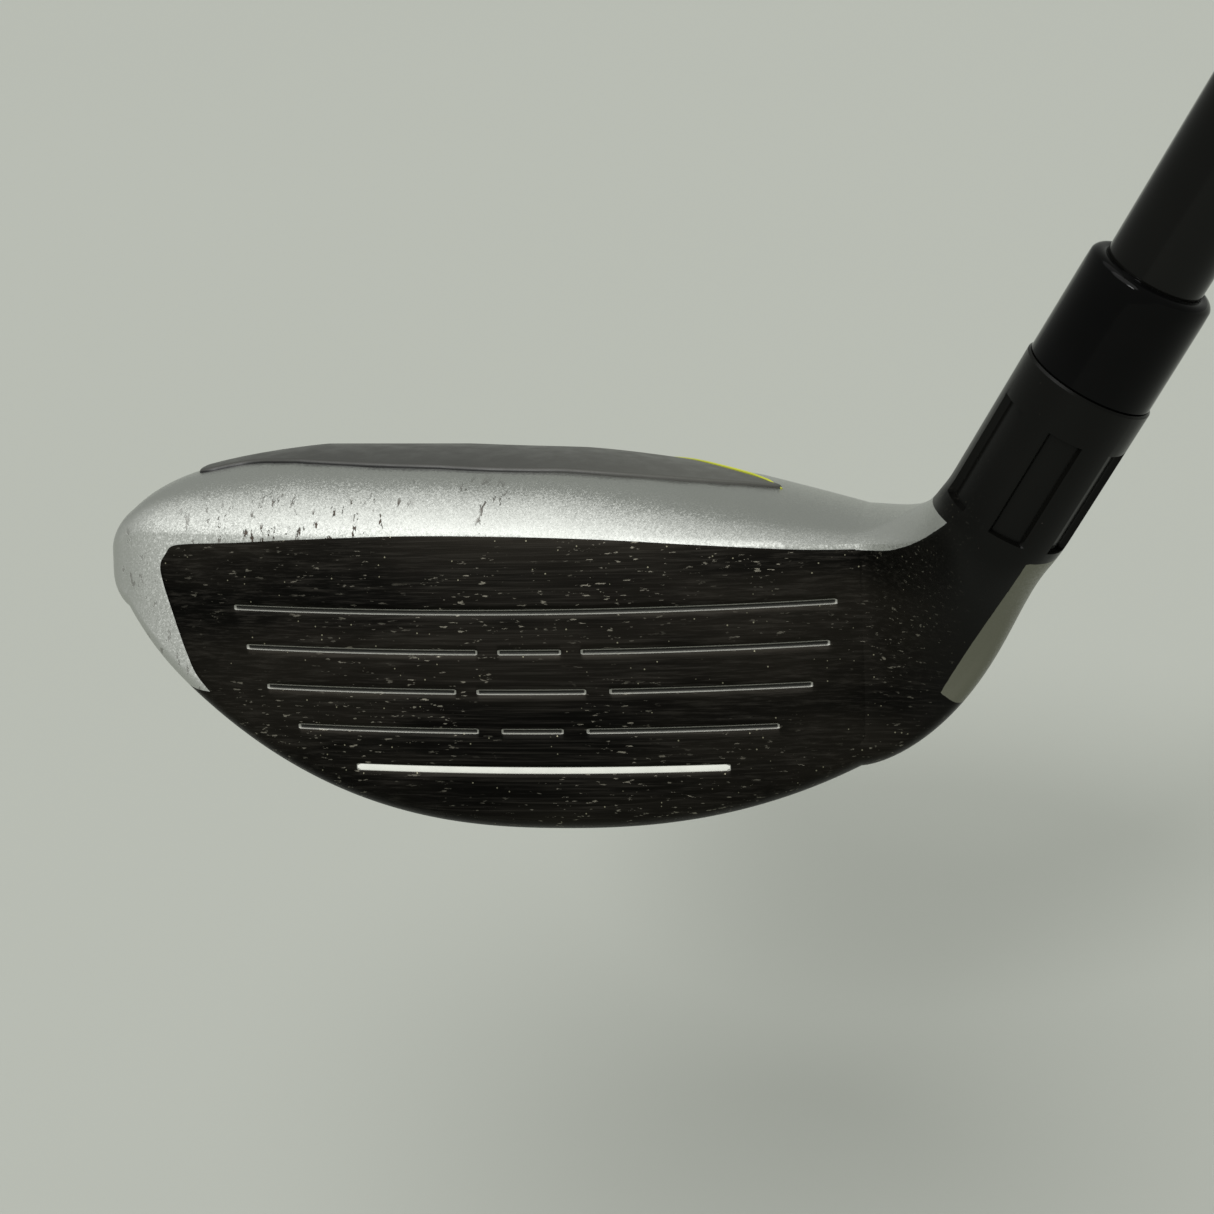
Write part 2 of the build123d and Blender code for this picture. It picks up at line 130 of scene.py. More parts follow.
def neck_points(fan):
    """The control points in 3D on the plane turned this many degrees about the valley's pivot."""
    out = np.array([sin(radians(fan)), -cos(radians(fan))])
    turned = min(fan / LIE / 0.86, 1)
    share = (turned * turned * (3 - 2 * turned)) ** 0.75
    half = HOSEL_R * sqrt(0.5)
    lean = 0.5523 * half
    near, far = -VALLEY_R - HOSEL_R + half, -VALLEY_R - HOSEL_R - half
    ring = np.array([
        (-half, near), (-half - lean, near - lean), (-half - lean, far + lean),
        (-half, far), (-half + lean, far - lean), (half - lean, far - lean),
        (half, far), (half + lean, far + lean), (half + lean, near - lean),
        (half, near), (half - lean, near + lean), (-half + lean, near + lean),
    ])
    points = []
    for n, (y, z) in enumerate(upright_section(PIVOT_X)):
        reach = PIVOT_Z - z
        if n < 4:
            y = face_y(PIVOT_X + reach * out[0], PIVOT_Z + reach * out[1])
        y, up = np.array([y, -reach]) * (1 - share) + ring[n] * share
        points.append([PIVOT_X - up * out[0], y, PIVOT_Z - up * out[1]])
    return np.array(points)


def curve_samples(count, extra=()):
    """Parameters along one curve, without its end."""
    return np.array(sorted(set(np.round(np.linspace(0, 1, count, endpoint=False), 6)) | set(extra)))


def flute_edges(quarter):
    """Curve parameters, on one quarter of the hosel's circle, close beside each flute's edges."""
    found = []
    for flute in range(FLUTES):
        for side in (-1, 1):
            for across in (FLUTE_W / 2 - 0.02, FLUTE_W / 2 - 0.16):
                turn = np.degrees(flute * 2 * pi / FLUTES + side * across / HOSEL_R) % 360
                start = (225 - 90 * quarter) % 360
                behind = (start - turn) % 360
                if 0.5 < behind < 89.5:
                    found.append(round(behind / 90, 5))
    return found


def ring_parameters():
    """(curve, parameter) for each point round the head's section."""
    pairs = []
    for quarter, count in enumerate((34, 16, 40, 44)):
        pairs += [(quarter, t) for t in curve_samples(count, flute_edges(quarter))]
    return pairs


RING = ring_parameters()


def ring_from(points):
    """The section's outline through its control points."""
    out = []
    for quarter, t in RING:
        a, b, c, d = (points[(3 * quarter + n) % 12] for n in range(4))
        s = 1 - t
        out.append(a * s**3 + b * 3 * s * s * t + c * 3 * s * t * t + d * t**3)
    return np.array(out)


def axis_station(p):
    return (p - AXIS_FOOT) @ AXIS_DIR


def axis_polar(p):
    """Radius from the shaft's axis, and the angle from +Y towards the upper side."""
    rel = p - AXIS_FOOT
    side = rel @ np.array([0.0, 1.0, 0.0])
    up = -(rel @ AXIS_OUT)
    return np.hypot(side, up), np.arctan2(up, side)


def smooth(edge0, edge1, v):
    t = np.clip((v - edge0) / (edge1 - edge0), 0, 1)
    return t * t * (3 - 2 * t)


# ---- Mesh helpers ----

def new_piece(name, verts, faces, smooth_angle=None, fields=None):
    """A mesh object from points in millimetres, with named per-point fields for its material."""
    mesh = bpy.data.meshes.new(name)
    mesh.from_pydata([tuple(v) for v in np.asarray(verts) * MM], [], faces)
    mesh.update()
    for poly in mesh.polygons:
        poly.use_smooth = True
    for key, values in (fields or {}).items():
        mesh.attributes.new(key, "FLOAT", "POINT").data.foreach_set("value", np.asarray(values, "f"))
    if smooth_angle is not None:
        mesh.set_sharp_from_angle(angle=radians(smooth_angle))
    piece = bpy.data.objects.new(name, mesh)
    bpy.context.scene.collection.objects.link(piece)
    return piece


def tube_faces(rows, columns, flip=False):
    """Quads between closed rings of points."""
    quads = []
    for r in range(rows - 1):
        for c in range(columns):
            a, b = r * columns + c, r * columns + (c + 1) % columns
            quad = (a, b, b + columns, a + columns)
            quads.append(quad[::-1] if flip else quad)
    return quads


def turned_piece(name, profile, columns=96, smooth_angle=30, wobble=None):
    """A closed piece turned about the shaft's axis from a closed (radius, station) profile."""
    rings = len(profile)
    verts = []
    for n, (radius, station) in enumerate(profile):
        for c in range(columns):
            turn = 2 * pi * c / columns
            r = radius + (wobble(radius, station, turn) if wobble else 0)
            verts.append(AXIS_FOOT + AXIS_DIR * station + np.array([0, 1, 0]) * r * cos(turn)
                         - AXIS_OUT * r * sin(turn))
    faces = tube_faces(rings, columns)
    last = (rings - 1) * columns
    faces += [(last + c, last + (c + 1) % columns, (c + 1) % columns, c) for c in range(columns)]
    return new_piece(name, verts, faces, smooth_angle)


def flat_fill(outline, inner):
    """Triangles that fill an outline in the plane, through the inner points."""
    points = [Vector(p) for p in outline] + [Vector(p) for p in inner]
    count = len(outline)
    edges = [(n, (n + 1) % count) for n in range(count)]
    verts, _, faces, _, _, _ = delaunay_2d_cdt(points, edges, [], 1, 1e-7)
    return np.array([tuple(v) for v in verts]), [tuple(f) for f in faces]


def inside(points, outline, margin):
    """Which points lie inside the outline, at least this far from it."""
    x, y = points[:, 0], points[:, 1]
    hit = np.zeros(len(points), bool)
    near = np.full(len(points), 1e9)
    for (x0, y0), (x1, y1) in zip(outline, np.roll(outline, -1, axis=0)):
        crosses = (y0 > y) != (y1 > y)
        with np.errstate(divide="ignore", invalid="ignore"):
            at = (x1 - x0) * (y - y0) / (y1 - y0) + x0
        hit ^= crosses & (x < at)
        dx, dy = x1 - x0, y1 - y0
        t = np.clip(((x - x0) * dx + (y - y0) * dy) / (dx * dx + dy * dy), 0, 1)
        near = np.minimum(near, np.hypot(x - x0 - t * dx, y - y0 - t * dy))
    return hit & (near > margin), np.where(hit, near, -near)


def rounded_path(points, spacing, closed=True):
    """A smooth closed curve through given points, evenly resampled."""
    p = np.array(points, float)
    count = len(p)
    fine = []
    for n in range(count if closed else count - 1):
        a, b, c, d = (p[(n + k - 1) % count] if closed else p[min(max(n + k - 1, 0), count - 1)]
                      for k in range(4))
        for t in np.linspace(0, 1, 40, endpoint=False):
            fine.append(0.5 * (2 * b + (c - a) * t + (2 * a - 5 * b + 4 * c - d) * t * t
                               + (3 * b - 3 * c + d - a) * t**3))
    if not closed:
        fine.append(p[-1])
    fine = np.array(fine)
    ends = np.vstack([fine, fine[:1]]) if closed else fine
    steps = np.hypot(*np.diff(ends, axis=0).T)
    along = np.concatenate([[0], np.cumsum(steps)])
    n_out = max(int(along[-1] / spacing), 8)
    at = np.linspace(0, along[-1], n_out, endpoint=not closed)
    return np.column_stack([np.interp(at, along, ends[:, 0]), np.interp(at, along, ends[:, 1])])


# ---- Outlines on the head ----
# Visible dark face, in the face's plane (X, up the face from the third scoreline).
FACE_TOP = [
    (-40.6, 13.7), (-39.2, 14.6), (-32, 15.1), (-25, 15.6), (-13.6, 16.1), (-2.8, 16.0), (7.7, 15.5),
    (18, 14.6), (28.1, 13.65), (PLATE_HEEL_X, PLATE_HEEL_TOP),
]
FACE_LOW = [
    (PLATE_HEEL_X, PLATE_HEEL_LOW), (30, -8.4), (17.2, -11.2), (2.5, -12.3), (-6.2, -12.1),
    (-14.9, -10.9), (-22.7, -8.6),
    (-29.4, -5.6), (-34.2, -2.6), (-37.3, 0.4), (-38.6, 3.0), (-40, 7), (-41.2, 10.8), (-41.35, 12.5),
    (-40.6, 13.7),
]
# The dark paint's upper border goes on over the neck: (X, Z).
NECK_BORDER = [
    (28, 29.0), (31.5, 28.8), (34.5, 28.8), (37, 29.4), (39, 30.6), (40.8, 32.2), (42.4, 33.9),
    (44, 35.6), (47, 38.8),
]
# Where the grey band ends: at the hosel along the axis, below the toe, and at the rear.
COLLAR_S, TOE_CUT_Z, BAND_REAR_Y = 37.0, 15.4, 17.5
ACCENT_FRONT = (25.0, 16.7)
# The heel below the hosel, where painted shade darkens the grey paint to olive, has its front edge between
# these: (X, Z).
SHADED_HEEL_LOW, SHADED_HEEL_TOP = (42.0, 15.6), (50.9, 31.2)
# Raised rear crown, from above.
PANEL_EDGE = [
    (-39.6, 16.0), (-38.2, 14.6), (-33.5, 15.3), (-27, 13.7), (-15.2, 12.0), (-4.4, 11.2), (6.7, 11.7),
    (16.5, 13.4), (21.5, 14.9), (24.6, 16.5), (24.2, 17.6), (21.0, 19.4), (15.8, 23.6), (9.5, 31.0),
    (3, 38.2), (-4, 42.2), (-14, 42.4), (-25, 39), (-34, 31.5), (-39, 23),
]


def crown_table():
    """For stations along X, the crown's Y and Z from the rear to the front."""
    xs = np.arange(-46.0, 33.6, CROWN_STEP)
    share = np.linspace(0, 1, 160)[:, None]
    rows = []
    for x in xs:
        p = station_points(x)
        a, b, c, d = p[9], p[10], p[11], p[0]
        s = 1 - share
        q = a * s**3 + b * 3 * s * s * share + c * 3 * s * share**2 + d * share**3
        rows.append(q[::-1, 1:])
    return xs, rows


CROWN_X, CROWN_ROWS = crown_table()


def crown_z(x, y):
    """Height of the crown at these points."""
    at = np.clip((x - CROWN_X[0]) / CROWN_STEP, 0, len(CROWN_X) - 1.001)
    low = at.astype(int)
    out = np.empty(len(x))
    for n in range(len(x)):
        here = [np.interp(y[n], CROWN_ROWS[k][:, 0], CROWN_ROWS[k][:, 1]) for k in (low[n], low[n] + 1)]
        out[n] = here[0] + (here[1] - here[0]) * (at[n] - low[n])
    return out


# ---- Head shell ----

def head_rows():
    rows = [ring_from(station_points(TOE_X + 0.02 + 12.4 * t**2.6)) for t in np.linspace(0, 1, 46)]
    rows += [ring_from(station_points(x)) for x in np.arange(-35.4, PIVOT_X, 0.62)]
    fans = [ring_from(neck_points(fan)) for fan in np.linspace(0, LIE, 180)]
    collar = ring_from(neck_points(LIE))
    fans += [collar + AXIS_DIR * step for step in np.linspace(0.3, HOSEL_TOP - NECK_S, 60)]
    fans = np.array(fans)
    # Up to this station the rings turn into the hosel's; above it they lie square across its axis.
    square_from = 38.6
    levels = [square_from, 39.1, FLUTE_FOOT, FLUTE_FOOT + 0.14]
    levels += list(np.arange(40.2, FLUTE_HEAD - 0.3, 0.8))
    levels += [FLUTE_HEAD - 0.14, FLUTE_HEAD, 51.6, 52.6, 53.8, 55.0, HOSEL_TOP - 0.22]
    stations = axis_station(fans)
    numbers = np.arange(len(fans))

    def index_at(level):
        return np.array([np.interp(level, stations[:, c], numbers) for c in range(fans.shape[1])])

    def ring_at(index):
        out = np.empty((fans.shape[1], 3))
        for c in range(fans.shape[1]):
            for k in range(3):
                out[c, k] = np.interp(index[c], numbers, fans[:, c, k])
        return out

    stop = index_at(square_from)
    rows += [ring_at(stop * t) for t in np.linspace(0, 1, 62)[:-1]]
    return rows + [ring_at(index_at(level)) for level in levels]


def flute_sink(p):
    """How far the hosel's surface is cut back at these points by the flutes."""
    radius, turn = axis_polar(p)
    station = axis_station(p)
    pitch = 2 * pi / FLUTES
    off = np.abs((turn + pitch / 2) % pitch - pitch / 2) * HOSEL_R
    across = smooth(FLUTE_W / 2 - 0.01, FLUTE_W / 2 - 0.17, off)
    along = smooth(FLUTE_FOOT - 0.02, FLUTE_FOOT + 0.15, station) * smooth(
        FLUTE_HEAD + 0.02, FLUTE_HEAD - 0.15, station)
    return FLUTE_DEPTH * across * along


HEEL_EDGE = np.linspace(PLATE_HEEL_TOP, PLATE_HEEL_LOW, 60, endpoint=False)
FACE_OUTLINE = np.vstack([
    rounded_path(FACE_TOP, 0.35, False)[:-1],
    np.column_stack([np.full(len(HEEL_EDGE), PLATE_HEEL_X), HEEL_EDGE]),
    rounded_path(FACE_LOW, 0.35, False)[:-1],
])
PANEL_OUTLINE = rounded_path(PANEL_EDGE, 0.3)


def head_shell():
    rows = head_rows()
    top_ring = rows[-1]
    for radius, station in ((HOSEL_R - 0.2, HOSEL_TOP), (BORE_R, HOSEL_TOP), (BORE_R, HOSEL_TOP - 2)):
        _, turn = axis_polar(top_ring)
        rows.append(AXIS_FOOT + AXIS_DIR * station + np.outer(radius * np.cos(turn), [0, 1, 0])
                    - np.outer(radius * np.sin(turn), AXIS_OUT))
    columns = len(RING)
    verts = np.vstack(rows)
    sink = flute_sink(verts)
    foot = AXIS_FOOT + np.outer(axis_station(verts), AXIS_DIR)
    away = verts - foot
    away /= np.maximum(np.linalg.norm(away, axis=1), 1e-6)[:, None]
    hosel = (axis_station(verts) > 38) & (np.linalg.norm(verts - foot, axis=1) > 6)
    verts = verts - away * (sink * hosel)[:, None]

    # Under the face plate and the crown panel the shell lies a little lower, out of sight.
    up_face = (verts[:, 2] - FACE_Z) / cos(LOFT)
    on_face = verts[:, 1] < face_y(verts[:, 0], verts[:, 2]) + 0.6
    _, face_in = inside(np.column_stack([verts[:, 0], up_face]), FACE_OUTLINE, 0)
    lower = np.where(on_face, 0.3 * smooth(0.35, 1.0, face_in), 0)
    verts = verts + np.outer(lower, [0, cos(LOFT), -sin(LOFT)])
    on_crown = (verts[:, 2] > 20) & ~on_face & (verts[:, 0] < 33)
    _, panel_in = inside(verts[:, :2], PANEL_OUTLINE, 0)
    verts[:, 2] -= np.where(on_crown, 0.5 * smooth(0.5, 1.2, panel_in), 0)

    faces = tube_faces(len(rows), columns)
    faces.append(tuple(range(columns))[::-1])
    last = (len(rows) - 1) * columns
    faces.append(tuple(range(last, last + columns)))
    # The last field marks the heel below the hosel, where the grey paint is darkened with painted shade.
    return new_piece("head_shell", verts, faces, 42,
                     {"silver": silver_field(verts), "steel": steel_field(verts),
                      "heel_shade": smooth(41.0, 42.0, verts[:, 0]) * smooth(33.0, 32.0, verts[:, 2])})


def side_of(across, along, point, way):
    """Distance from the line through the point, positive on the side that lies this way."""
    return ((across - point[0]) * way[0] + (along - point[1]) * way[1]) / hypot(*way)


def silver_field(p):
    """Distance in millimetres inside the grey paint, negative outside it."""
    x, y, z = p[:, 0], p[:, 1], p[:, 2]
    below_collar = COLLAR_S - 0.13 * y - axis_station(p)
    above_cut = z - (TOE_CUT_Z + 0.12 * y)
    before_back = BAND_REAR_Y + 0.02 * (33 - z) ** 2 - y
    heel_of_accent = side_of(x, y, ACCENT_FRONT, (0.711, 0.702))
    band = np.minimum(np.minimum(above_cut, below_collar), np.maximum(before_back, heel_of_accent))
    border_x, border_z = rounded_path(NECK_BORDER, 0.3, closed=False).T
    above_border = np.maximum((z - np.interp(x, border_x, border_z)) * 0.8, (y - 7) * 0.8)
    band = np.where(x > 33, np.minimum(band, above_border), band)
    # The grey paint also covers the heel below the hosel; the material darkens it there with painted shade.
    rise = np.subtract(SHADED_HEEL_TOP, SHADED_HEEL_LOW)
    behind = side_of(x, z, SHADED_HEEL_LOW, (rise[1], -rise[0]))
    below = side_of(x, z, SHADED_HEEL_TOP, (-0.6, -1.5))
    above = side_of(x, z, SHADED_HEEL_LOW, (0.5, 0.7))
    heel = np.minimum(np.minimum(behind, below), np.minimum(above, 9.0 - y))
    return np.maximum(band, heel)


def steel_field(p):
    """1 where the shell continues the brushed face, fading to 0 towards the hosel and the sole."""
    x, y, z = p[:, 0], p[:, 1], p[:, 2]
    front = smooth(3.5, 0.5, y - face_y(np.minimum(x, 36), z))
    return front * smooth(50, 36, x)


# ---- Face plate, with its scorelines cut as grooves ----
SCORE_PITCH = 4.14
SCORE_HALF, SCORE_DEEP = 0.30, 0.20
LOW_SCORE_HALF, LOW_SCORE_DEEP = 0.38, 0.22
# Each scoreline's height up the face, its stretches along X, half its width, and its depth.
SCORES = [
    (2 * SCORE_PITCH, [(-32.8, 31.8)], SCORE_HALF, SCORE_DEEP),
    (SCORE_PITCH, [(-31.5, -5.55), (-3.5, 3.4), (5.3, 31.0)], SCORE_HALF, SCORE_DEEP),
    (0.0, [(-29.3, -8.0), (-5.9, 5.9), (8.2, 29.2)], SCORE_HALF, SCORE_DEEP),
    (-SCORE_PITCH, [(-25.9, -5.7), (-3.4, 3.4), (5.7, 25.7)], SCORE_HALF, SCORE_DEEP),
    (-2 * SCORE_PITCH, [(-19.5, 20.6)], LOW_SCORE_HALF, LOW_SCORE_DEEP),
]


def groove_depth(x, up):
    depth = np.zeros(len(x))
    for height, stretches, half, deep in SCORES:
        off = np.abs(up - height)
        walls = smooth(half, half - 0.17, off) * deep
        for start, end in stretches:
            taper = smooth(0, 0.35, np.minimum(x - start, end - x))
            depth = np.maximum(depth, walls * taper)
    return depth


def face_plate():
    across = list(np.arange(-41.2, 44.4, 0.34))
    for _, stretches, _, _ in SCORES:
        for start, end in stretches:
            across += [start, start + 0.18, start + 0.36, end - 0.36, end - 0.18, end]
    across = np.unique(np.round(across, 2))
    across = across[np.insert(np.diff(across) > 0.08, 0, True)]
    ups = []
    for height, _, half, _ in SCORES:
        offs = (half + 0.02, half - 0.06, half - 0.12, half - 0.18)
        ups += [height + side * off for side in (-1, 1) for off in offs]
    fill = np.arange(-12.4, 16.8, 0.6)
    fill = [v for v in fill if min(abs(v - u) for u in ups) > 0.25]
    ups = np.array(sorted(ups + fill))
    grid = np.array([(x, u) for u in ups for x in across])
    keep, _ = inside(grid, FACE_OUTLINE, 0.16)
    flat, faces = flat_fill(FACE_OUTLINE, grid[keep])
    x, up = flat[:, 0], flat[:, 1]
    depth = groove_depth(x, up)
    z = FACE_Z + up * cos(LOFT)
    _, edge_in = inside(flat, FACE_OUTLINE, 0)
    rim = 0.03 * (1 - smooth(0.0, 0.25, edge_in))
    sink = depth + rim - 0.03
    y = face_y(x, z) + sink * cos(LOFT)
    z = z - sink * sin(LOFT)
    top = np.column_stack([x, y, z])
    count = len(FACE_OUTLINE)
    back = top + np.array([0, cos(LOFT), -sin(LOFT)]) * PLATE_THICK
    verts = np.vstack([top, back])
    shift = len(top)
    closed = [tuple(f) for f in faces]
    closed += [tuple(v + shift for v in f[::-1]) for f in faces]
    closed += [((n + 1) % count, n, n + shift, (n + 1) % count + shift) for n in range(count)]
    groove = np.concatenate([depth, depth])
    return new_piece("face_plate", verts, closed, 40, {"groove": groove, "edge": np.tile(edge_in, 2)})


def score_paint():
    """White paint lying in the lowest scoreline."""
    height, stretches, half, _ = SCORES[4]
    start, end = stretches[0]
    xs = np.linspace(start + 0.12, end - 0.12, 90)
    rng = np.random.default_rng(4)
    # Each station's points: how far to the side, in half widths, and how deep.
    section = ((-1, 0.05), (-0.5, 0.035), (0, 0.03), (0.5, 0.035), (1, 0.05), (1, 0.3), (-1, 0.3))
    rows = []
    for x in xs:
        ends = min(1.0, min(x - start, end - x) / 0.3)
        wide = (half - 0.03 + rng.normal(0, 0.008)) * ends
        for side, deep in section:
            up = height + side * wide
            z = FACE_Z + up * cos(LOFT)
            rows.append((x, face_y(x, z) + deep * cos(LOFT), z - deep * sin(LOFT)))
    count = len(section)
    faces = tube_faces(len(xs), count, flip=True)
    faces.append(tuple(range(count)))
    faces.append(tuple(range(len(rows) - count, len(rows)))[::-1])
    return new_piece("score_paint", rows, faces, 50)


# ---- Crown panel and its accent ----

def inward(outline, distance):
    """The closed outline moved towards its inside."""
    ahead = np.roll(outline, -1, axis=0) - np.roll(outline, 1, axis=0)
    ahead /= np.linalg.norm(ahead, axis=1)[:, None]
    side = np.column_stack([-ahead[:, 1], ahead[:, 0]])
    area = np.sum(outline[:, 0] * np.roll(outline[:, 1], -1) - np.roll(outline[:, 0], -1) * outline[:, 1])
    return outline + side * distance * (1 if area > 0 else -1)


def crown_panel():
    steps = [0.0, 0.06, 0.14, 0.26, 0.42, 0.65]
    rings = [inward(PANEL_OUTLINE, d) for d in steps]
    grid = np.array([(x, y) for x in np.arange(-40, 26, 0.8) for y in np.arange(10, 44, 0.8)])
    keep, _ = inside(grid, rings[-1], 0.3)
    flat, faces = flat_fill(rings[-1], grid[keep])
    flat = np.vstack([flat] + rings[:-1][::-1])
    count = len(PANEL_OUTLINE)
    base = len(flat) - count * (len(rings) - 1)
    loops = [np.arange(count)] + [base + k * count + np.arange(count) for k in range(len(rings) - 1)]
    _, edge_in = inside(flat, PANEL_OUTLINE, 0)
    edge_in = np.maximum(edge_in, 0)
    rise = PANEL_PROUD * np.sqrt(np.clip(1 - (1 - np.minimum(edge_in / 0.42, 1)) ** 2, 0, 1))
    z = crown_z(flat[:, 0], flat[:, 1])
    step = 0.3
    slope_x = (crown_z(flat[:, 0] + step, flat[:, 1]) - crown_z(flat[:, 0] - step, flat[:, 1])) / (2 * step)
    slope_y = (crown_z(flat[:, 0], flat[:, 1] + step) - crown_z(flat[:, 0], flat[:, 1] - step)) / (2 * step)
    slope_x, slope_y = np.clip(slope_x, -1.5, 1.5), np.clip(slope_y, -1.5, 1.5)
    normal = np.column_stack([-slope_x, -slope_y, np.ones(len(z))])
    normal /= np.linalg.norm(normal, axis=1)[:, None]
    top = np.column_stack([flat, z]) + normal * (rise - 0.05)[:, None]
    under = np.column_stack([flat, z]) - normal * 0.42
    verts = np.vstack([top, under])
    shift = len(top)
    closed = [tuple(f) for f in faces] + [tuple(v + shift for v in f[::-1]) for f in faces]
    for a, b in zip(loops[:-1], loops[1:]):
        for n in range(count):
            m = (n + 1) % count
            quad = (a[n], b[n], b[m], a[m])
            closed.append(quad)
            closed.append(tuple(v + shift for v in quad[::-1]))
    outer = loops[-1]
    closed += [(outer[n], outer[n] + shift, outer[(n + 1) % count] + shift, outer[(n + 1) % count])
               for n in range(count)]
    return new_piece("rear_crown", verts, [tuple(int(v) for v in f) for f in closed], 60,
                     {"edge": np.tile(edge_in, 2)})


ACCENT_LINE = [(24.9, 16.6), (21.4, 19.6), (16.3, 23.8), (10.1, 31.2), (3.6, 38.4)]


def accent_strip():
    """The thin coloured line along the panel's heel side."""
    path = rounded_path(ACCENT_LINE, 0.4, closed=False)
    ahead = np.gradient(path, axis=0)
    ahead /= np.linalg.norm(ahead, axis=1)[:, None]
    side = np.column_stack([ahead[:, 1], -ahead[:, 0]])
    rows = []
    profile = (
        (-0.34, 0.0), (-0.34, 0.44), (-0.12, 0.56), (0.1, 0.4), (0.26, 0.06), (0.26, -0.2), (-0.34, -0.2),
    )
    for n, p in enumerate(path):
        slim = min(1.0, 0.25 + min(n, len(path) - 1 - n) / 6)
        for off, rise in profile:
            q = p + side[n] * off * slim
            z = crown_z(q[:1], q[1:2])[0] + rise * slim
            rows.append((q[0], q[1], z))
    faces = tube_faces(len(path), len(profile), flip=True)
    faces.append(tuple(range(len(profile))))
    faces.append(tuple(range(len(rows) - len(profile), len(rows)))[::-1])
    return new_piece("crown_accent_line", rows, faces, 50)


# ---- Shaft line ----

def arc(centre, radius, start, end, count):
    return [(centre[0] + radius * cos(t), centre[1] + radius * sin(t))
            for t in np.linspace(radians(start), radians(end), count)]


def shaft_radius(station):
    share = max(station - FERRULE_END, 0) / (SHAFT_END - FERRULE_END)
    return SHAFT_R + (SHAFT_BUTT_R - SHAFT_R) * share


def ferrule():
    top = FERRULE_END
    foot_r, foot = HOSEL_R - 0.2, HOSEL_TOP + 0.2
    outer = [(HOSEL_R - 0.32, HOSEL_TOP + 0.04), (foot_r, foot)]
    outer += [(foot_r - 0.06 * t, foot + (FERRULE_LEN - 2.2) * t) for t in np.linspace(0.1, 1, 8)]
    outer += arc((FERRULE_TOP_R - 1.0, top - 1.0), 1.0, 20, 90, 8)
    profile = [(SHAFT_R - 0.1, HOSEL_TOP + 0.04)] + outer
    profile += [(SHAFT_R + 0.12, top), (SHAFT_R - 0.1, top - 0.15)]
    return turned_piece("ferrule_collar", profile, 128, 35)


def shaft():
    levels = [HOSEL_TOP + 1, *np.linspace(FERRULE_END, 300, 24), *np.linspace(320, SHAFT_END, 30)]
    outer = [(shaft_radius(s), s) for s in levels]
    profile = outer + [(SHAFT_BUTT_R - 1.4, SHAFT_END), (3.4, HOSEL_TOP + 1)]
    return turned_piece("shaft_tube", profile, 128, 30)


def grip_relief(radius, station, turn):
    """Shallow moulded rows of diamonds, with a plain ring at each end."""
    if radius < 8.6:
        return 0
    fade = min(1, max(0, (station - GRIP_START - 12) / 4)) * min(1, max(0, (CAP_START - 10 - station) / 4))
    rows = cos(turn * 14 + station * 0.55) * cos(turn * 14 - station * 0.55)
    return -0.28 * fade * (1 if rows > 0.12 else 0.15)


def grip():
    outer = [
        (GRIP_MOUTH_R - 0.3, GRIP_START), (GRIP_MOUTH_R, GRIP_START + 0.4),
        (GRIP_MOUTH_R + 0.4, GRIP_START + 3),
    ]
    steps = np.linspace(GRIP_START + 4, CAP_START, 420)
    span = CAP_START - GRIP_START - 3
    outer += [(GRIP_MOUTH_R + 0.4 + (GRIP_BUTT_R - GRIP_MOUTH_R - 0.4) * (s - GRIP_START - 3) / span, s)
              for s in steps]
    profile = outer + [(SHAFT_BUTT_R + 0.2, CAP_START), (shaft_radius(GRIP_START), GRIP_START)]
    return turned_piece("grip_sleeve", profile, 168, 50, grip_relief)


def grip_cap():
    outer = [(GRIP_BUTT_R, CAP_START)] + arc((GRIP_BUTT_R - 3.2, CLUB_LEN - 3.2), 3.2, 0, 90, 10)
    outer += [
        (VENT_R + 3.4, CLUB_LEN - 0.05), (VENT_R + 3.1, CLUB_LEN - 0.5), (VENT_R + 0.3, CLUB_LEN - 0.5),
        (VENT_R, CLUB_LEN - 0.8), (VENT_R, SHAFT_END),
    ]
    profile = outer + [(SHAFT_BUTT_R + 0.2, SHAFT_END), (SHAFT_BUTT_R + 0.2, CAP_START)]
    return turned_piece("grip_end", profile, 128, 40)


def shaft_band():
    start_r, end_r = shaft_radius(BAND_START), shaft_radius(BAND_END)
    profile = [(start_r - 0.05, BAND_START), (start_r + 0.08, BAND_START + 0.1),
               (end_r + 0.08, BAND_END - 0.1), (end_r - 0.05, BAND_END)]
    return turned_piece("shaft_band", profile, 128, 40)


# ---- Materials ----

